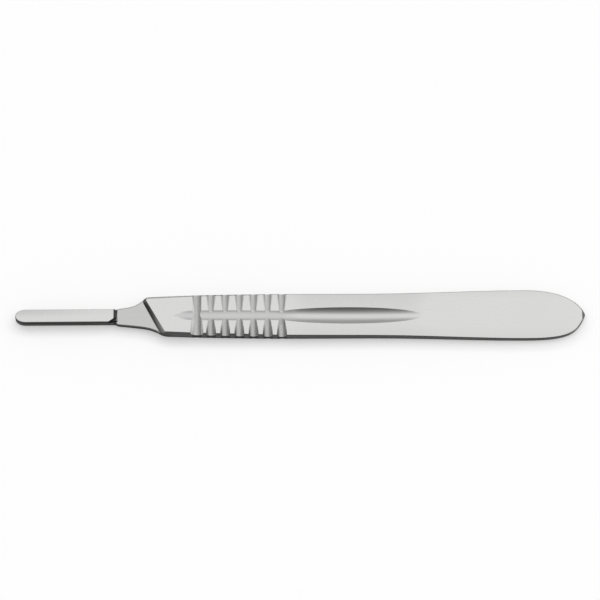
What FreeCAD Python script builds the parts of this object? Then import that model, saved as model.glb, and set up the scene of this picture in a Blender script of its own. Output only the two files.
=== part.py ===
# Scalpel handle for large blades, one forged and milled piece of stainless steel.
# It lies on its flat back. X runs along the handle from the blade fitting at -X to the tail at +X,
# Y across it and Z up through its thickness. All sizes are in millimetres and angles in degrees.
# The origin is in the middle of the length and of the width, on the back face.

import FreeCAD
import Part
import math
import os

V = FreeCAD.Vector

# Overall form
length = 135.0
tail_width = 12.2
tail_length = 14.0
shank_width = 10.72
shank_station = 43.5
grip_end_width = 10.44
shoulder_width = 9.1
side_spread = 2.2
corner_radius = 3.3

# Thickness, from the shoulder to the tip of the tail
body_thickness = 3.3
grip_end_thickness = 2.62
shank_thickness = 2.15
tip_thickness = 1.3

# Rounded and slightly pointed tail, fuller on its near side
tail_far_side_pull = 8.4
tail_far_tip_pull = 3.7
tail_near_side_pull = 10.6
tail_near_tip_pull = 4.9
tail_tip_angle = 66.0
tail_tip_radius = 0.6
tip_break_length = 0.7
tip_break_depth = 0.5

# Broken edges of the body, and the wider bevel that runs along the grip
edge_break = 0.18
bevel_at_shoulder = 0.55
bevel_steps = 4

# Blade fitting: a tongue with a headed lug on it, for the slot of the blade
fitting_length = 23.6
tongue_width = 3.3
tongue_thickness = 1.5
tongue_bottom = 0.45
nose_length = 2.5
blade_slot_height = 0.45
lug_head_height = 0.65
lug_head_width = 3.16
lug_waist_width = 2.3
lug_rear_run = 0.6
lug_rear_skew = 6.0
lug_rear_block = 1.3
lug_corner_length = 1.5
lug_corner_width = 1.0
lug_edge_round = 0.12

# Neck between the fitting and the shoulder, and the slanted shoulder itself
neck_length = 9.5
neck_root_width = 4.1
neck_root_angle = 6.0
neck_step_run = 0.9
neck_step_round = 0.8
neck_far_pull = 4.7
neck_near_pull = 9.0
neck_far_angle = 32.0
neck_near_angle = 20.0
neck_far_corner_pull = 2.55
neck_near_corner_pull = 4.9
neck_edge_round = 0.25
shoulder_angle = 30.0
shoulder_foot_angle = 27.7
shoulder_run = 1.05
shoulder_round = 0.9

# Grip: rows of cross grooves on both sides of a middle channel. In each face one row runs out
# deep and the other shallow, so that a deep row always has a shallow one under it.
groove_count = 7
groove_pitch = 3.35
groove_radius = 1.2
groove_inner_depth = 0.16
groove_deep_end = 1.05
groove_shallow_end = 0.38
first_groove_setback = 9.95
first_groove_radius = 1.7
first_groove_depth = 0.38

# Channel along the middle of the grip, and the long hollow for the finger behind it
channel_width = 2.35
channel_depth = 0.2
channel_lead = 4.9
channel_run_in = 4.0
channel_shift = 0.2
hollow_length = 35.6
hollow_width = 4.1
hollow_depth = 0.62
hollow_lead = 2.6

# Places along the handle that several features share
nose_x = -length / 2
tip_x = length / 2
lug_rear_x = nose_x + fitting_length
shoulder_x = lug_rear_x + neck_length
first_groove_x = shoulder_x + first_groove_setback
last_groove_x = first_groove_x + (groove_count - 1) * groove_pitch
grip_end_x = last_groove_x + groove_pitch
widest_x = tip_x - tail_length
shank_x = tip_x - shank_station
hollow_start_x = last_groove_x - hollow_lead
channel_end_x = hollow_start_x + hollow_length / 3

# Heights that several features share
seat_z = tongue_bottom + tongue_thickness
head_bottom_z = seat_z + blade_slot_height
lug_top_z = head_bottom_z + lug_head_height

# How far cutting shapes reach past what they cut, and how close counts as the same place
clear = 2.0
arc_reach = 1.15
tiny = 0.01

# Share of a quarter ellipse's reach at which a curve's inner points lie
QUARTER_PULL = 0.5523


def tan(angle):
    return math.tan(math.radians(angle))


def heading(angle):
    return V(math.cos(math.radians(angle)), math.sin(math.radians(angle)), 0)


def bezier(points):
    curve = Part.BezierCurve()
    curve.setPoles(points)
    return curve.toShape()


def prism(wire, way):
    return Part.Face(wire).extrude(way)


def polygon(points):
    return Part.makePolygon(points + points[:1])


def edges_at(shape, test):
    """Edges whose middle point passes the test."""
    found = []
    for edge in shape.Edges:
        middle = edge.valueAt((edge.FirstParameter + edge.LastParameter) / 2)
        if test(middle, edge):
            found.append(edge)
    return found


def upright(edge):
    return abs(edge.tangentAt(edge.FirstParameter).z) > 0.9


def upright_edges(shape, place):
    """Vertical edges of a prism that stand at a place of its plan."""
    return edges_at(shape, lambda middle, edge: upright(edge) and math.dist(middle[:2], place[:2]) < tiny)


def shoulder_corner(side):
    """Corner of the plan where the neck ends and the body's side begins, far (+1) or near (-1)."""
    half = side * shoulder_width / 2
    behind = shoulder_round / 2 if side > 0 else 0.0
    return V(shoulder_x - half * tan(shoulder_angle) + behind, half, 0)


def nose_curve(side, nose, half):
    """A quarter of the elliptical nose, from its tip back to the straight side."""
    back = nose_x + nose_length
    pull = (back - nose) * QUARTER_PULL
    return bezier([V(nose, 0, 0), V(nose, side * half * QUARTER_PULL, 0),
                   V(back - pull, side * half, 0), V(back, side * half, 0)])


def tongue_end(side):
    """Where the tongue's straight side ends, at the lug's rear."""
    return V(lug_rear_x, side * tongue_width / 2, 0)


def neck_root(side):
    """Where the neck's side begins, a short step outside the tongue's."""
    return V(lug_rear_x + neck_step_run, side * neck_root_width / 2, 0)


def neck_curve(side):
    """Hollow flare from the root of the neck to a corner of the shoulder."""
    root = neck_root(side)
    corner = shoulder_corner(side)
    pull = neck_far_pull if side > 0 else neck_near_pull
    angle = neck_far_angle if side > 0 else neck_near_angle
    corner_pull = neck_far_corner_pull if side > 0 else neck_near_corner_pull
    return bezier([root, root + heading(side * neck_root_angle) * pull,
                   corner - heading(side * angle) * corner_pull, corner])


def side_curve(side):
    """Gently widening side of the body, from the shoulder to the widest place of the tail."""
    stations = [shoulder_corner(side),
                V(grip_end_x, side * grip_end_width / 2, 0),
                V(shank_x, side * shank_width / 2, 0),
                V(widest_x, side * tail_width / 2, 0)]
    curve = Part.BSplineCurve()
    curve.interpolate(Points=stations, InitialTangent=heading(side * side_spread), FinalTangent=V(1, 0, 0))
    return curve.toShape()


def tail_point():
    """Where the two halves of the tail's arch meet, before the point is rounded off."""
    sine = math.sin(math.radians(tail_tip_angle))
    return V(tip_x + tail_tip_radius * (1 / sine - 1), 0, 0)


def tail_curve(side):
    """Half of the tail's arch."""
    point = tail_point()
    wide = V(widest_x, side * tail_width / 2, 0)
    side_pull = tail_far_side_pull if side > 0 else tail_near_side_pull
    tip_pull = tail_far_tip_pull if side > 0 else tail_near_tip_pull
    return bezier([wide, wide + V(side_pull, 0, 0),
                   point - heading(-side * tail_tip_angle) * tip_pull, point])


def plan_wire():
    """Outline of the whole forging seen from above."""
    edges = []
    half = tongue_width / 2
    for side in (1, -1):
        back = V(nose_x + nose_length, side * half, 0)
        edges += [nose_curve(side, nose_x, half), Part.makeLine(back, tongue_end(side)),
                  Part.makeLine(tongue_end(side), neck_root(side)), neck_curve(side),
                  side_curve(side), tail_curve(side)]
    return Part.Wire(Part.__sortEdges__(edges))


def plan_solid():
    """The forging at one thickness, with its upright corners rounded."""
    solid = prism(plan_wire(), V(0, 0, body_thickness + clear))
    corners = upright_edges(solid, shoulder_corner(1)) + upright_edges(solid, shoulder_corner(-1))
    solid = solid.makeFillet(corner_radius, corners)
    for place in (tongue_end(1), tongue_end(-1), neck_root(1), neck_root(-1)):
        solid = solid.makeFillet(neck_step_round, upright_edges(solid, place))
    return solid.makeFillet(tail_tip_radius, upright_edges(solid, tail_point()))


def face_curve():
    """Height of the front face along the handle, thickest at the shoulder."""
    stations = [V(shoulder_x, 0, body_thickness), V(grip_end_x, 0, grip_end_thickness),
                V(shank_x, 0, shank_thickness), V(tip_x + clear, 0, tip_thickness)]
    curve = Part.BSplineCurve()
    curve.interpolate(Points=stations, InitialTangent=V(1, 0, 0), FinalTangent=stations[3] - stations[2])
    return curve


FACE = face_curve()
SIDE = side_curve(1).Curve


def face_z(x):
    """Height of the front face at a place along the handle."""
    if x < shoulder_x:
        return body_thickness
    return FACE.value(FACE.parameter(V(x, 0, grip_end_thickness))).z


def profile_solid():
    """Everything under the front face, as wide as the handle and more."""
    width = tail_width + 2 * clear
    front = V(nose_x - clear, 0, 0)
    back = V(tip_x + clear, 0, 0)
    lift = V(0, 0, body_thickness)
    edges = [Part.makeLine(front, back), Part.makeLine(front, front + lift),
             Part.makeLine(front + lift, V(shoulder_x, 0, body_thickness)), FACE.toShape(),
             Part.makeLine(back, back + V(0, 0, tip_thickness))]
    solid = prism(Part.Wire(Part.__sortEdges__(edges)), V(0, width, 0))
    solid.translate(V(0, -width / 2, 0))
    return solid


def side_y(x):
    """Half width of the body at a place along the handle."""
    if x < shoulder_corner(1).x:
        return shoulder_width / 2
    return SIDE.value(SIDE.parameter(V(x, grip_end_width / 2, 0))).y


def blank():
    """The forging before milling: its plan under the tapering front face, with broken edges."""
    solid = plan_solid().common(profile_solid())

    def body_rim(middle, edge):
        on_face = middle.z < tiny or middle.z > face_z(middle.x) - tiny
        return on_face and not upright(edge) and middle.x > shoulder_corner(-1).x + corner_radius
    return solid.makeChamfer(edge_break, edges_at(solid, body_rim))


def bevel_section(x, size, side, front):
    """Triangle over a long edge. Its slanting side cuts the edge back by the given size."""
    face = face_z(x) if front else 0.0
    up = 1 if front else -1
    half = side_y(x)
    reach = clear / 2
    low = V(x, side * (half + reach), face - up * (size + reach))
    inner = V(x, side * (half - size - reach), face + up * reach)
    return polygon([low, inner, V(x, side * (half + reach), face + up * reach)])


def grip_bevel(side, front):
    """Bevel along one edge of the grip, which narrows until it meets the broken edge."""
    start = shoulder_corner(1).x
    sections = [bevel_section(start - clear, bevel_at_shoulder, side, front)]
    for step in range(bevel_steps + 1):
        share = step / bevel_steps
        size = bevel_at_shoulder + (edge_break - bevel_at_shoulder) * share
        sections.append(bevel_section(start + (grip_end_x - start) * share, size, side, front))
    return Part.makeLoft(sections, True, False)


def shoulder_section(height, z):
    """What the fitting and the neck lie in, cut level at a height off their flat.
    Its back is the slanted shoulder, with the body's sharp far corner rounded off."""
    share = height / (body_thickness - seat_z)
    lean = tan(shoulder_foot_angle) + (tan(shoulder_angle) - tan(shoulder_foot_angle)) * share
    middle_x = shoulder_x - shoulder_run * (1 - share)
    turn = math.atan(lean)
    across = tail_width
    centre_y = shoulder_width / 2 + edge_break / 2 - shoulder_round
    centre = V(middle_x - centre_y * lean + shoulder_round / math.cos(turn), centre_y, z)

    def on_round(angle):
        return centre + V(math.cos(angle), math.sin(angle), 0) * shoulder_round
    near = V(middle_x + across * lean, -across, z)
    first = on_round(math.pi + turn)
    last = on_round(math.pi / 2)
    corners = [last, V(last.x, across, z), V(nose_x - clear, across, z), V(nose_x - clear, -across, z), near]
    edges = [Part.makeLine(near, first), Part.Arc(first, on_round(0.75 * math.pi + turn / 2), last).toShape()]
    edges += [Part.makeLine(a, b) for a, b in zip(corners, corners[1:])]
    return Part.Wire(edges)


def shoulder_cut(front):
    """Cuts the body down to the neck and the tongue, on the front or on the back."""
    depth = body_thickness - seat_z + clear if front else tongue_bottom + clear
    flat = seat_z if front else tongue_bottom
    far_end = flat + depth if front else flat - depth
    return Part.makeLoft([shoulder_section(0, flat), shoulder_section(depth, far_end)], True, True)


def lug_wire(setback, z, corners):
    """Outline of the lug's head or waist: a round nose and then straight lines between corners."""
    first, last = corners[0], corners[-1]
    edges = [nose_curve(1, nose_x + setback, last.y), nose_curve(-1, nose_x + setback, -first.y)]
    edges += [Part.makeLine(a, b) for a, b in zip(corners, corners[1:])]
    wire = Part.Wire(Part.__sortEdges__(edges))
    wire.translate(V(0, 0, z))
    return wire


def lug_head():
    """Head of the lug, with its near rear corner cut off."""
    half = lug_head_width / 2
    back = nose_x + nose_length
    cut_start = lug_rear_x - lug_corner_length
    end = lug_rear_x + lug_rear_run
    end_y = (end - cut_start) * lug_corner_width / lug_corner_length - half
    corners = [V(back, -half, 0), V(cut_start, -half, 0), V(end, end_y, 0), V(end, half, 0), V(back, half, 0)]
    wire = lug_wire((tongue_width - lug_head_width) / 2, head_bottom_z, corners)
    return prism(wire, V(0, 0, lug_head_height))


def lug_waist():
    """Narrow waist under the head. It widens to a block that closes the far slot at the rear."""
    half = lug_waist_width / 2
    back = nose_x + nose_length
    block = lug_rear_x - lug_rear_block
    end = lug_rear_x + 2 * lug_rear_run
    corners = [V(back, -half, 0), V(end, -half, 0), V(end, lug_head_width / 2, 0),
               V(block, lug_head_width / 2, 0), V(block, half, 0), V(back, half, 0)]
    wire = lug_wire((tongue_width - lug_waist_width) / 2, seat_z, corners)
    return prism(wire, V(0, 0, blade_slot_height))


def lug():
    """Lug that holds the blade, with its rear sloping down to the neck."""
    solid = lug_head().fuse(lug_waist()).removeSplitter()
    steep = lug_rear_run / (lug_top_z - seat_z)
    low, high = seat_z - clear, lug_top_z + clear
    slope = polygon([V(steep * (lug_top_z - low), -length, low), V(steep * (lug_top_z - high), -length, high),
                     V(length, -length, high), V(length, -length, low)])
    cutter = prism(slope, V(0, 2 * length, 0))
    cutter.rotate(V(0, 0, 0), V(0, 0, 1), lug_rear_skew)
    cutter.translate(V(lug_rear_x, 0, 0))
    solid = solid.cut(cutter)
    rim = edges_at(solid, lambda middle, edge: middle.z > lug_top_z - tiny)
    return solid.makeFillet(lug_edge_round, rim)


def groove_cutter(x, side, front, radius, inner, depth):
    """Round cutter that runs out over the side, deeper towards it."""
    face = face_z(x) if front else 0.0
    up = 1 if front else -1
    end_depth = groove_shallow_end if side * up > 0 else groove_deep_end
    start = V(x, side * inner, face + up * (radius - depth))
    end = V(x, side * side_y(x), face + up * (radius - end_depth))
    way = end - start
    reach = clear / way.Length
    return Part.makeCylinder(radius, way.Length + 2 * clear, start - way * reach, way)


def grooves(front):
    """The two rows of cross grooves. The first groove runs across the middle too."""
    cutters = []
    for index in range(groove_count):
        x = first_groove_x + index * groove_pitch
        for side in (1, -1):
            if index == 0:
                cutters.append(groove_cutter(x, side, front, first_groove_radius, 0.0, first_groove_depth))
            else:
                cutters.append(groove_cutter(x, side, front, groove_radius, channel_width / 2,
                                             groove_inner_depth))
    return cutters


def arc_radius(width, depth):
    """Radius of a round hollow from its width and depth."""
    return (width * width / 4 + depth * depth) / (2 * depth)


def cutter_centre(x, depth, radius, front):
    """Middle of a round cutter that works along the handle at a depth."""
    z = face_z(x) - depth + radius if front else depth - radius
    return V(x, -channel_shift, z)


def drawn(path, radius):
    """Round cutter drawn along a path."""
    start = path.Edges[0].valueAt(path.Edges[0].FirstParameter)
    way = path.Edges[0].tangentAt(path.Edges[0].FirstParameter)
    circle = Part.Wire(Part.makeCircle(radius, start, way))
    return path.makePipe(Part.Face(circle))


def channel(front):
    """Middle channel. It dips in on an arc ahead of the grooves and ends inside the long hollow."""
    radius = arc_radius(channel_width, channel_depth)
    full_x = first_groove_x - channel_lead + channel_run_in
    full = cutter_centre(full_x, channel_depth, radius, front)
    end = cutter_centre(channel_end_x, channel_depth, radius, front)
    along = (end - full).normalize()
    off = V(-along.z, 0, along.x) if front else V(along.z, 0, -along.x)
    dip = channel_run_in * channel_run_in / (2 * channel_depth)

    def on_dip(back):
        return full - along * back + off * (dip - math.sqrt(dip * dip - back * back))
    arc = Part.Arc(on_dip(arc_reach * channel_run_in), on_dip(channel_run_in), full).toShape()
    return drawn(Part.Wire([arc, Part.makeLine(full, end)]), radius)


def hollow(front):
    """Long shallow hollow on an arc, which fades out at both ends."""
    radius = arc_radius(hollow_width, hollow_depth)
    middle = hollow_start_x + hollow_length / 2
    reach = arc_reach * hollow_length / 2
    end_depth = hollow_depth * (1 - arc_reach * arc_reach)
    arc = Part.Arc(cutter_centre(middle - reach, end_depth, radius, front),
                   cutter_centre(middle, hollow_depth, radius, front),
                   cutter_centre(middle + reach, end_depth, radius, front)).toShape()
    return drawn(Part.Wire(arc), radius)


def tip_break(front):
    """Wedge that breaks the tip's edge more than the rest."""
    face = face_z(tip_x) if front else 0.0
    up = 1 if front else -1
    slope = tip_break_depth / tip_break_length
    side = -tail_width / 2
    wedge = polygon([V(tip_x - tip_break_length - clear, side, face + up * slope * clear),
                     V(tip_x + clear, side, face - up * slope * (tip_break_length + clear)),
                     V(tip_x + clear, side, face + up * slope * clear)])
    return prism(wedge, V(0, tail_width, 0))


def rounded_neck(solid):
    """The long edges of the neck and the tongue rounded, up to the foot of the shoulder."""
    def neck_rim(middle, edge):
        level = min(abs(middle.z - seat_z), abs(middle.z - tongue_bottom)) < tiny
        way = edge.tangentAt(edge.FirstParameter)
        shoulder_foot = middle.x > lug_rear_x and abs(way.y) > abs(way.x)
        return level and middle.x < shoulder_x and not shoulder_foot
    return solid.makeFillet(neck_edge_round, edges_at(solid, neck_rim))


def shouldered(solid):
    """The blank with its edges bevelled along the grip and its front end cut down."""
    for front in (True, False):
        solid = solid.cut([grip_bevel(side, front) for side in (1, -1)])
        solid = solid.cut([shoulder_cut(front), tip_break(front)])
    return rounded_neck(solid)


def milled(solid):
    """Both faces with their grooves, channel and hollow cut."""
    for front in (True, False):
        solid = solid.cut(grooves(front))
        solid = solid.cut([channel(front), hollow(front)])
    return solid


def handle():
    return milled(shouldered(blank())).fuse(lug()).removeSplitter()


def main():
    os.makedirs("parts", exist_ok=True)
    solid = handle()
    box = solid.optimalBoundingBox()
    print("valid", solid.isValid(), "solids", len(solid.Solids), "volume", round(solid.Volume, 1))
    print("size", round(box.XLength, 3), round(box.YLength, 3), round(box.ZLength, 3))
    solid.exportStep("parts/handle.step")


main()
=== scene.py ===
import bmesh
import bpy
import math
from mathutils import Matrix, Vector


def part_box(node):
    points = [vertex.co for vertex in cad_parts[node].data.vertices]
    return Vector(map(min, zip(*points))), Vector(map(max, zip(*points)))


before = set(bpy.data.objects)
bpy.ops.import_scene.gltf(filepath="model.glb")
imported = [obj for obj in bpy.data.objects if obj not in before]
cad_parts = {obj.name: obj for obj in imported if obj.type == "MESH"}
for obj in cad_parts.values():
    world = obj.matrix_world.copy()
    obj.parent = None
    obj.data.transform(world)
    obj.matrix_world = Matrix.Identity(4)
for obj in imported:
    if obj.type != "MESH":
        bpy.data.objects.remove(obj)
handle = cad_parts["handle"]
low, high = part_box("handle")

bl_info = {
    "name": "Scalpel Handle",
    "version": (1, 0, 0),
    "blender": (4, 5, 0),
    "location": "3D View > Sidebar > Scalpel Handle",
    "description": "Finishes a forged steel scalpel handle and sets it on a plain pale floor",
    "category": "Object",
}

WHITE = (1.0, 1.0, 1.0, 1.0)
BLACK = (0.0, 0.0, 0.0, 1.0)

# Places along the handle, in metres
NOSE_X = low.x
TIP_X = high.x
LUG_REAR_X = NOSE_X + 0.0236
SHOULDER_X = NOSE_X + 0.0331
FIRST_GROOVE_X = SHOULDER_X + 0.00995
GROOVE_PITCH = 0.00335
GROOVE_COUNT = 7
LAST_GROOVE_X = FIRST_GROOVE_X + (GROOVE_COUNT - 1) * GROOVE_PITCH
CHANNEL_START_X = FIRST_GROOVE_X - 0.0049
CHANNEL_POINT_X = CHANNEL_START_X - 0.0016
CHANNEL_FULL_X = CHANNEL_START_X + 0.0036
HOLLOW_START_X = LAST_GROOVE_X - 0.0026
HOLLOW_LENGTH = 0.0356
HOLLOW_END_X = HOLLOW_START_X + HOLLOW_LENGTH
HOLLOW_MIDDLE_X = HOLLOW_START_X + HOLLOW_LENGTH / 2
CHANNEL_END_X = HOLLOW_START_X + HOLLOW_LENGTH / 4

# Places across the handle and half widths of its recesses, in metres
CHANNEL_Y = -0.0002
CHANNEL_HALF = 0.00118
HOLLOW_HALF = 0.00205
ROW_START_Y = 0.0009
ROW_END_Y = 0.0055
GROOVE_INNER_HALF = 0.0007
GROOVE_OUTER_HALF = 0.00115
FIRST_GROOVE_HALF = 0.0015
RECESS_EDGE = 0.00012

# Heights of the neck's flat and of the slot's upper side, in metres
SEAT_Z = 0.00195
HEAD_BOTTOM_Z = 0.0024

# Share of the light taken out by painted shade and painted dark reflection on each darker part
FITTING_WALL_DARK = 0.84
BODY_WALL_DARK = 0.64
NEAR_EDGE_DARK = 0.7
FAR_EDGE_DARK = 0.16
HOLLOW_DARK = 0.36
SHOULDER_FOOT_DARK = 0.86
SHOULDER_TOP_DARK = 0.66
NOSE_DARK = 0.7
LUG_REAR_DARK = 0.92
TIP_DARK = 0.75
GROOVE_WALL_DARK = 0.75

# Share of the light taken out by painted shade on the darker ground fields, and how much darker the neck's flat
# is
NECK_DARKER = 0.2
CROWN_SHADE = 0.07
SHANK_NEAR_SHADE = 0.03
SHANK_FAR_SHADE = 0.09
LUG_NOSE_SHADE = 0.19
LUG_REAR_SHADE = 0.06

# Noise cells in each metre
CLOUD_CELLS = 160.0
GRAIN_CELLS = 2100.0
PIT_CELLS = 5200.0
STREAK_CELLS = (8000.0, 500.0, 500.0)

# Stage, in metres, with the camera's sensor in millimetres
FLOOR_RADIUS = 6.0
SHADOW_REACH = 0.003
AIM_HEIGHT = 0.0017
SENSOR_WIDTH = 36.0

# Brightness of each part of the studio, where 1 is white
SOFTBOX_LIGHT = 0.84
SOFTBOX_END_SHARE = 0.1
WALL_FOOT_LIGHT = 0.75
WALL_TOP_LIGHT = 0.06
HORIZON_LIGHT = 0.9
BACKDROP_LIGHT = 0.98


class Tree:
    """A node tree under construction."""

    def __init__(self, tree):
        self.tree = tree

    def node(self, kind, settings=None, sockets=None, out=0):
        """Adds a node, makes its settings, then fills its sockets with values or links."""
        made = self.tree.nodes.new(kind)
        for name, setting in (settings or {}).items():
            setattr(made, name, setting)
        for key, value in (sockets or {}).items():
            if isinstance(value, Shade):
                self.tree.links.new(value.socket, made.inputs[key])
            else:
                made.inputs[key].default_value = value
        return Shade(self, made.outputs[out]) if made.outputs else None

    def math(self, operation, *values):
        return self.node("ShaderNodeMath", {"operation": operation}, dict(enumerate(values)))


class Shade:
    """A socket of a node tree that takes part in Python expressions."""

    def __init__(self, tree, socket):
        self.tree = tree
        self.socket = socket

    def __add__(self, other):
        return self.tree.math("ADD", self, other)

    def __radd__(self, other):
        return self.tree.math("ADD", other, self)

    def __sub__(self, other):
        return self.tree.math("SUBTRACT", self, other)

    def __rsub__(self, other):
        return self.tree.math("SUBTRACT", other, self)

    def __mul__(self, other):
        return self.tree.math("MULTIPLY", self, other)

    def __rmul__(self, other):
        return self.tree.math("MULTIPLY", other, self)

    def __neg__(self):
        return 0.0 - self

    def __abs__(self):
        return self.tree.math("ABSOLUTE", self)

    def smooth(self, start, end, first=0.0, last=1.0):
        """Runs smoothly from one value to another as the socket goes from start to end."""
        return self.tree.node("ShaderNodeMapRange", {"interpolation_type": "SMOOTHSTEP", "clamp": True},
                              dict(enumerate((self, start, end, first, last))))

    def turned(self, start, end, first=0.0, last=1.0):
        """The same for a socket that holds an angle, with start and end in degrees."""
        return self.smooth(math.radians(start), math.radians(end), first, last)

    def between(self, start, end, soft):
        """One between start and end, and zero outside, with soft ends."""
        return self.smooth(start - soft, start + soft) * self.smooth(end - soft, end + soft, 1.0, 0.0)

    def greatest(self, other):
        return self.tree.math("MAXIMUM", self, other)


def mixed(tree, share, first, second):
    """Mixes two colours."""
    return tree.node("ShaderNodeMix", {"data_type": "RGBA"}, {0: share, 6: first, 7: second}, out=2)


def colour(value):
    """Gives a colour its fourth value."""
    return tuple(value) + (1.0,)


def split(tree, vector):
    """The three parts of a vector."""
    return [tree.node("ShaderNodeSeparateXYZ", None, {0: vector}, out=axis) for axis in range(3)]


def noise(tree, place, scale, detail=2.0, roughness=0.5):
    """Noise between 0 and 1."""
    return tree.node("ShaderNodeTexNoise", {"noise_dimensions": "3D"},
                     {"Vector": place, "Scale": scale, "Detail": detail, "Roughness": roughness})


def stretched(tree, place, factors):
    """A place with each of its parts scaled by itself."""
    return tree.node("ShaderNodeMapping", {"vector_type": "POINT"}, {"Vector": place, "Scale": factors})


def new_material(name):
    """Gives an empty material and its node tree."""
    material = bpy.data.materials.new(name)
    material.use_nodes = True
    material.node_tree.nodes.clear()
    return material, Tree(material.node_tree)


class HandleFinish(bpy.types.PropertyGroup):
    steel: bpy.props.FloatVectorProperty(
        name="Ground steel", description="Colour of the ground faces", subtype="COLOR",
        default=(0.82, 0.82, 0.813), min=0.0, max=1.0)
    forged: bpy.props.FloatVectorProperty(
        name="Forged steel", description="Colour of the matt forged recesses", subtype="COLOR",
        default=(0.80, 0.80, 0.795), min=0.0, max=1.0)
    ground_blur: bpy.props.FloatProperty(
        name="Ground roughness", description="How far the ground faces blur what they reflect",
        default=0.27, min=0.05, max=0.9, subtype="FACTOR")
    forged_blur: bpy.props.FloatProperty(
        name="Forged roughness", description="How far the forged recesses blur what they reflect",
        default=0.40, min=0.05, max=0.9, subtype="FACTOR")
    line_width: bpy.props.FloatProperty(
        name="Line width", description="Width of the lengthwise grinding lines",
        default=0.00012, min=0.00002, max=0.001, unit="LENGTH")
    line_length: bpy.props.FloatProperty(
        name="Line length", description="Length of the lengthwise grinding lines",
        default=0.006, min=0.0005, max=0.05, unit="LENGTH")
    line_depth: bpy.props.FloatProperty(
        name="Line depth", description="Depth of the grinding lines",
        default=0.0000012, min=0.0, max=0.0001, unit="LENGTH", precision=7)
    skin_depth: bpy.props.FloatProperty(
        name="Skin depth", description="Depth of the fine pits in the forged recesses",
        default=0.000006, min=0.0, max=0.0001, unit="LENGTH", precision=7)


class StageLook(bpy.types.PropertyGroup):
    floor: bpy.props.FloatVectorProperty(
        name="Floor", description="Colour of the floor", subtype="COLOR",
        default=(0.78, 0.78, 0.78), min=0.0, max=1.0)
    backdrop: bpy.props.FloatProperty(
        name="Backdrop", description="How much of white the floor shows by itself, without its light",
        default=0.58, min=0.0, max=1.0, subtype="FACTOR")
    tilt: bpy.props.FloatProperty(
        name="Camera tilt", description="Angle of the camera from straight above",
        default=math.radians(19.5), subtype="ANGLE")
    roll: bpy.props.FloatProperty(
        name="Camera roll", description="Turn of the camera about its own line of sight",
        default=math.radians(0.411), subtype="ANGLE")
    distance: bpy.props.FloatProperty(
        name="Camera distance", description="Distance from the camera to the handle",
        default=0.9, min=0.2, max=5.0, unit="LENGTH")
    framed: bpy.props.FloatProperty(
        name="Framed width", description="Width that the camera takes in at the handle",
        default=0.1421, min=0.02, max=1.0, unit="LENGTH")
    rise: bpy.props.FloatProperty(
        name="Rise", description="How far the middle of the picture lies above the handle",
        default=0.003755, unit="LENGTH")
    shift: bpy.props.FloatProperty(
        name="Shift", description="How far the middle of the picture lies to the side of the handle's middle",
        default=-0.00004, unit="LENGTH")


def middle_recesses(along, across):
    """One in the channel and, more faintly, in the hollow behind it."""
    tree = along.tree
    pointed_half = along.smooth(CHANNEL_POINT_X, CHANNEL_FULL_X, 0.0, CHANNEL_HALF)
    channel = (across - pointed_half).smooth(-2 * RECESS_EDGE, RECESS_EDGE, 1.0, 0.0)
    channel = channel * along.between(CHANNEL_START_X - 0.0008, CHANNEL_END_X, 0.0006)
    channel = channel * along.smooth(LAST_GROOVE_X, CHANNEL_END_X, 1.0, 0.0)
    reach = (along - HOLLOW_MIDDLE_X) * (2.1 / HOLLOW_LENGTH)
    hollow_half = tree.math("SQRT", (1 - reach * reach).greatest(0.0)) * HOLLOW_HALF
    hollow = (across - hollow_half).smooth(-2 * RECESS_EDGE, 0.0, 0.25, 0.0)
    hollow = hollow * along.between(HOLLOW_START_X + 0.001, HOLLOW_START_X + HOLLOW_LENGTH * 0.85, 0.003)
    return channel.greatest(hollow)


def recesses(tree, place):
    """One in the channel and the hollow, one in the cross grooves, and the painted shade on the grooves."""
    along, side = split(tree, place)[:2]
    across = abs(side - CHANNEL_Y)
    from_groove = tree.math("PINGPONG", along - FIRST_GROOVE_X + 2 * GROOVE_PITCH, GROOVE_PITCH / 2)
    groove_half = across.smooth(ROW_START_Y, ROW_END_Y, GROOVE_INNER_HALF, GROOVE_OUTER_HALF)
    first_end = FIRST_GROOVE_X + FIRST_GROOVE_HALF
    first = along.smooth(first_end, first_end + 0.0002, 1.0, 0.0)
    grooves = (from_groove - groove_half).smooth(-RECESS_EDGE, RECESS_EDGE, 1.0, 0.0)
    grooves = grooves * across.smooth(ROW_START_Y, ROW_START_Y + 0.0003).greatest(first)
    grooves = grooves * along.between(
        FIRST_GROOVE_X - GROOVE_PITCH / 2, LAST_GROOVE_X + GROOVE_PITCH / 2, 0.0001)
    # Painted shade: the grooves darken towards the far row, and the first groove more
    groove_shade = grooves * (side.smooth(-0.0015, 0.002, 0.04, 0.17) + first * 0.08)
    return middle_recesses(along, across), grooves, groove_shade


def shoulder_walls(along, up, facing):
    """How dark the painted shade on the slanted shoulder is, darkest at its foot."""
    leaning = facing[0].smooth(-0.55, -0.2, 1.0, 0.0)
    ahead_of_grip = along.between(SHOULDER_X - 0.003, FIRST_GROOVE_X - 0.0025, 0.0005)
    over_seat = up.smooth(SEAT_Z - 0.00005, SEAT_Z + 0.00015)
    fading = up.smooth(SEAT_Z + 0.00015, high.z, SHOULDER_FOOT_DARK, SHOULDER_TOP_DARK)
    return leaning * ahead_of_grip * over_seat * fading


def lug_rear(along, across, up):
    """How dark the painted shade on the lug's sloping rear and on the slot's end under it is."""
    rear = along.smooth(LUG_REAR_X - 0.0004, LUG_REAR_X - 0.0002) * along.smooth(
        LUG_REAR_X + 0.0004, LUG_REAR_X + 0.0005, LUG_REAR_DARK, 0.0)
    skewed = along - across * 0.07
    foot = skewed.smooth(LUG_REAR_X + 0.0004, LUG_REAR_X + 0.0006, LUG_REAR_DARK, 0.0) * up.between(
        SEAT_Z - 0.00015, HEAD_BOTTOM_Z + 0.0001, 0.0001)
    return rear.greatest(foot)


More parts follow.
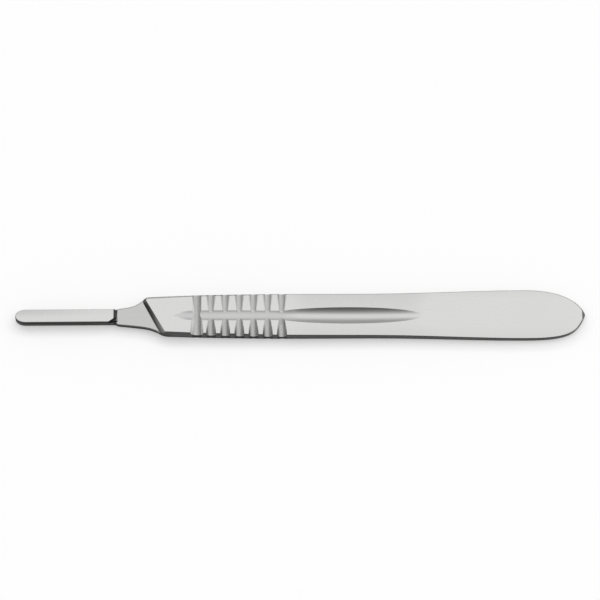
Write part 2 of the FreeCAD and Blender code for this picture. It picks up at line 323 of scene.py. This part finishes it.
def painted_dark_parts(tree, place, facing):
    """How dark the painted dark reflection on the walls, the broken edges and the hollow's far flank is, with the
    painted shade at the shoulder and the lug's rear.
    """
    along, across, up = split(tree, place)
    # Painted dark reflection on the upright walls, the broken edges, the hollow's far flank, the nose and the
    # tip, set by which way each faces
    darkest = abs(facing[2]).smooth(0.3, 0.6, 1.0, 0.0) * along.smooth(
        SHOULDER_X + 0.002, SHOULDER_X + 0.006, FITTING_WALL_DARK, BODY_WALL_DARK)
    near_edge = facing[1].smooth(-0.65, -0.3, NEAR_EDGE_DARK, 0.0)
    far_edge = facing[1].smooth(0.3, 0.65, 0.0, FAR_EDGE_DARK)
    in_hollow = along.between(HOLLOW_START_X + 0.002, HOLLOW_END_X, 0.002) * abs(
        across - CHANNEL_Y).smooth(HOLLOW_HALF + 0.00005, HOLLOW_HALF + 0.00025, 1.0, 0.0)
    flank = facing[1].smooth(-0.36, -0.04, HOLLOW_DARK, 0.0) * in_hollow
    nose = facing[0].smooth(-0.6, -0.1, NOSE_DARK, 0.0) * along.smooth(
        NOSE_X + 0.002, NOSE_X + 0.003, 1.0, 0.0)
    tip = facing[0].smooth(0.15, 0.5, 0.0, TIP_DARK) * along.smooth(TIP_X - 0.004, TIP_X - 0.001)
    shoulder = shoulder_walls(along, up, facing)
    for part in (near_edge, far_edge, flank, shoulder, nose, lug_rear(along, across, up), tip):
        darkest = darkest.greatest(part)
    return darkest


def field_shade(tree, place):
    """How light each ground field is. Painted shade darkens the body's edges, the shank towards its far side and
    the lug towards its far side and nose; the neck's flat is darker.
    """
    along, across, up = split(tree, place)
    neck = along.between(LUG_REAR_X, SHOULDER_X + 0.0005, 0.0003) * up.smooth(
        SEAT_Z + 0.00015, HEAD_BOTTOM_Z, NECK_DARKER, 0.0)
    crown = abs(across - 0.0005).smooth(0.0015, 0.0062, 0.0, CROWN_SHADE) * along.smooth(
        SHOULDER_X, FIRST_GROOVE_X)
    shank = along.between(HOLLOW_START_X + 0.006, HOLLOW_END_X, 0.004) * across.smooth(
        -0.003, 0.003, SHANK_NEAR_SHADE, SHANK_FAR_SHADE)
    lug = along.smooth(NOSE_X + 0.001, LUG_REAR_X, LUG_NOSE_SHADE, LUG_REAR_SHADE) * across.smooth(
        -0.0012, 0.0015) * along.smooth(LUG_REAR_X, LUG_REAR_X + 0.0001, 1.0, 0.0)
    return 1.0 - neck - crown - shank - lug


def steel_material(look):
    """Satin ground faces with fine lengthwise lines, and matt forged recesses with a pitted skin."""
    material, tree = new_material("ground_steel")
    place = tree.node("ShaderNodeTexCoord", out="Object")
    facing = split(tree, tree.node("ShaderNodeTexCoord", out="Normal"))
    across = 1 / look.line_width
    along = 1 / look.line_length
    lines = noise(tree, stretched(tree, place, (along, across, across)), 1.0, 3.0, 0.6)
    broad = noise(tree, stretched(tree, place, (along / 3, across / 5, across / 5)), 1.0, 2.0)
    streaks = noise(tree, stretched(tree, place, STREAK_CELLS), 1.0, 2.0)
    clouds = noise(tree, place, CLOUD_CELLS, 3.0)
    pits = noise(tree, place, PIT_CELLS, 2.0)
    grain = noise(tree, place, GRAIN_CELLS, 3.0, 0.6)
    middle, grooves, groove_shade = recesses(tree, place)
    matt = middle.greatest(grooves)
    # Painted shade on the groove walls, darkest on the walls that face the tail
    groove_wall_shade = grooves * abs(facing[2]).smooth(0.6, 0.95, GROOVE_WALL_DARK, 0.0) * facing[0].smooth(
        -0.4, 0.3, 0.45, 1.0)
    # The ground's tone carries the painted shade of the darker fields
    tone = (0.99 + lines * 0.02 + broad * 0.025 + clouds * 0.03) * field_shade(tree, place)
    # The recess tone takes off the grooves' painted shade
    skin = 0.85 + grain * 0.16 + clouds * 0.08 + grooves * (streaks - 0.45) * 0.4 - groove_shade
    ground = mixed(tree, tone, BLACK, colour(look.steel))
    forged = mixed(tree, skin, BLACK, colour(look.forged))
    # Painted shade and painted dark reflection take light out of the base colour here
    light = (1 - painted_dark_parts(tree, place, facing)) * (1 - groove_wall_shade)
    base = mixed(tree, light, BLACK, mixed(tree, matt, ground, forged))
    ground_blur = look.ground_blur - 0.05 + broad * 0.06 + clouds * 0.05
    forged_blur = look.forged_blur - 0.06 + grain * 0.12
    roughness = ground_blur * (1 - matt) + forged_blur * matt
    fine = tree.node("ShaderNodeBump", None, {
        "Strength": 0.6, "Distance": look.line_depth, "Height": lines * 0.8 + pits * 0.2})
    bump = tree.node("ShaderNodeBump", None, {
        "Strength": 0.6, "Distance": look.skin_depth, "Height": (grain * 0.7 + pits * 0.3) * matt,
        "Normal": fine})
    shader = tree.node("ShaderNodeBsdfPrincipled", None, {
        "Base Color": base, "Metallic": 1.0, "Roughness": roughness, "Normal": bump})
    tree.node("ShaderNodeOutputMaterial", None, {"Surface": shader})
    return material


class SCALPEL_OT_finish_handle(bpy.types.Operator):
    """Gives the forged handle its satin ground steel."""
    bl_idname = "scalpel.finish_handle"
    bl_label = "Finish Handle"

    def execute(self, context):
        material = steel_material(context.scene.handle_finish)
        handle.data.materials.clear()
        handle.data.materials.append(material)
        return {"FINISHED"}


def light_path(tree, name):
    """One for rays of the named kind, or the ray's length."""
    return tree.node("ShaderNodeLightPath", out=name)


def floor_material(look):
    """Pale floor. It keeps the handle's shadow, and shows plain white by itself, less so close to the handle,
    where ambient occlusion dims the white in a painted shadow.
    """
    material, tree = new_material("pale_floor")
    mirrored = light_path(tree, "Is Glossy Ray").greatest(light_path(tree, "Is Transmission Ray"))
    away = light_path(tree, "Ray Length").smooth(0.006, 0.03)
    # Painted shadow: ambient occlusion, tilted towards behind, dims the floor's white in front of the handle
    behind = tree.node("ShaderNodeCombineXYZ", None, {1: 0.77, 2: 0.64})
    open_behind = tree.node("ShaderNodeAmbientOcclusion", {"samples": 8},
                            {"Distance": SHADOW_REACH, "Normal": behind}, out="AO") * 0.5 + 0.5
    seen = light_path(tree, "Is Camera Ray").greatest(mirrored * away)
    lit = tree.node("ShaderNodeBsdfDiffuse", None, {"Color": colour(look.floor)})
    white = tree.node("ShaderNodeEmission", None, {
        "Color": WHITE, "Strength": seen * open_behind * look.backdrop})
    shader = tree.node("ShaderNodeAddShader", None, {0: lit, 1: white})
    tree.node("ShaderNodeOutputMaterial", None, {"Surface": shader})
    return material


def floor(look):
    """A wide round floor under the handle."""
    shape = bmesh.new()
    bmesh.ops.create_circle(shape, cap_ends=True, segments=96, radius=FLOOR_RADIUS)
    mesh = bpy.data.meshes.new("floor")
    shape.to_mesh(mesh)
    shape.free()
    piece = bpy.data.objects.new("floor", mesh)
    piece.data.materials.append(floor_material(look))
    bpy.context.scene.collection.objects.link(piece)


def card(tree, aside, toward, half, edge, darkness):
    """A dark upright card on the wall, with its half width and its soft edge in degrees."""
    return abs(tree.math("ARCTAN2", aside, toward)).turned(half, edge, darkness, 0.0)


def softbox(tree, side, back, up):
    """A wide softbox overhead and a little behind, fading at both ends of the handle."""
    tilt = tree.math("ARCTAN2", back, up)
    lean = tree.math("ARCSINE", side)
    over = tilt.turned(-46, 14) * tilt.turned(28, 62, 1.0, 0.0)
    blade_end = lean.turned(-50, -7, SOFTBOX_END_SHARE, 1.0)
    tail_end = lean.turned(30, 62, 1.0, SOFTBOX_END_SHARE)
    return over * blade_end * tail_end * SOFTBOX_LIGHT


def walls_round(tree, side, back, up):
    """Pale walls with darker cards at the near side, the blade's end and behind."""
    rise = tree.math("ARCSINE", up)
    over_floor = rise.turned(6, 18)
    near = card(tree, side, -back, 22, 45, 1.0) * rise.turned(20, 55, 0.8, 0.3) * over_floor
    blade_end = card(tree, back, -side, 20, 40, 0.75) * over_floor
    far = card(tree, side, back, 15, 40, 0.45)
    walls = rise.turned(15, 60, WALL_FOOT_LIGHT, WALL_TOP_LIGHT)
    return walls * (1 - near) * (1 - blade_end) * (1 - far)


def studio_light():
    """Plain soft light from a softbox, pale walls and the bright horizon of the floor."""
    world = bpy.data.worlds.new("studio")
    world.use_nodes = True
    world.node_tree.nodes.clear()
    tree = Tree(world.node_tree)
    side, back, up = split(tree, tree.node("ShaderNodeTexCoord", out="Generated"))
    strength = softbox(tree, side, back, up) + walls_round(tree, side, back, up)
    horizon = up.smooth(0.02, 0.07, HORIZON_LIGHT, 0.0)
    backdrop = light_path(tree, "Is Camera Ray") * BACKDROP_LIGHT
    light = tree.node("ShaderNodeBackground", None, {
        "Color": WHITE, "Strength": strength.greatest(horizon).greatest(backdrop)})
    tree.node("ShaderNodeOutputWorld", None, {"Surface": light})
    bpy.context.scene.world = world


def camera(look):
    """Looks down on the handle from the near side, with a long lens."""
    lens = bpy.data.cameras.new("camera")
    lens.sensor_width = SENSOR_WIDTH
    lens.lens = SENSOR_WIDTH * look.distance / look.framed
    lens.clip_start = 0.01
    lens.clip_end = 20.0
    back = Vector((0.0, -math.sin(look.tilt), math.cos(look.tilt)))
    up = Vector((0.0, math.cos(look.tilt), math.sin(look.tilt)))
    side = Vector((1.0, 0.0, 0.0))
    aim = Vector((0.0, 0.0, AIM_HEIGHT)) + up * look.rise + side * look.shift
    turned_side = side * math.cos(look.roll) - up * math.sin(look.roll)
    turned_up = side * math.sin(look.roll) + up * math.cos(look.roll)
    turn = Matrix((turned_side, turned_up, back)).transposed().to_4x4()
    piece = bpy.data.objects.new("camera", lens)
    piece.matrix_world = Matrix.Translation(aim + back * look.distance) @ turn
    bpy.context.scene.collection.objects.link(piece)
    bpy.context.scene.camera = piece


class SCALPEL_OT_set_stage(bpy.types.Operator):
    """Sets the floor, the studio light and the camera."""
    bl_idname = "scalpel.set_stage"
    bl_label = "Set Stage"

    def execute(self, context):
        look = context.scene.stage_look
        context.scene.view_settings.view_transform = "Standard"
        floor(look)
        studio_light()
        camera(look)
        return {"FINISHED"}


class SCALPEL_PT_panel(bpy.types.Panel):
    bl_label = "Scalpel Handle"
    bl_idname = "SCALPEL_PT_panel"
    bl_space_type = "VIEW_3D"
    bl_region_type = "UI"
    bl_category = "Scalpel Handle"

    def draw(self, context):
        for look in (context.scene.handle_finish, context.scene.stage_look):
            box = self.layout.box()
            for name in look.__annotations__:
                box.prop(look, name)
        self.layout.operator("scalpel.finish_handle")
        self.layout.operator("scalpel.set_stage")


classes = (HandleFinish, StageLook, SCALPEL_OT_finish_handle, SCALPEL_OT_set_stage, SCALPEL_PT_panel)


def register():
    for item in classes:
        bpy.utils.register_class(item)
    bpy.types.Scene.handle_finish = bpy.props.PointerProperty(type=HandleFinish)
    bpy.types.Scene.stage_look = bpy.props.PointerProperty(type=StageLook)


def unregister():
    del bpy.types.Scene.stage_look
    del bpy.types.Scene.handle_finish
    for item in reversed(classes):
        bpy.utils.unregister_class(item)


def main():
    register()
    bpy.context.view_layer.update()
    bpy.ops.scalpel.finish_handle()
    bpy.ops.scalpel.set_stage()


if __name__ == "__main__":
    main()
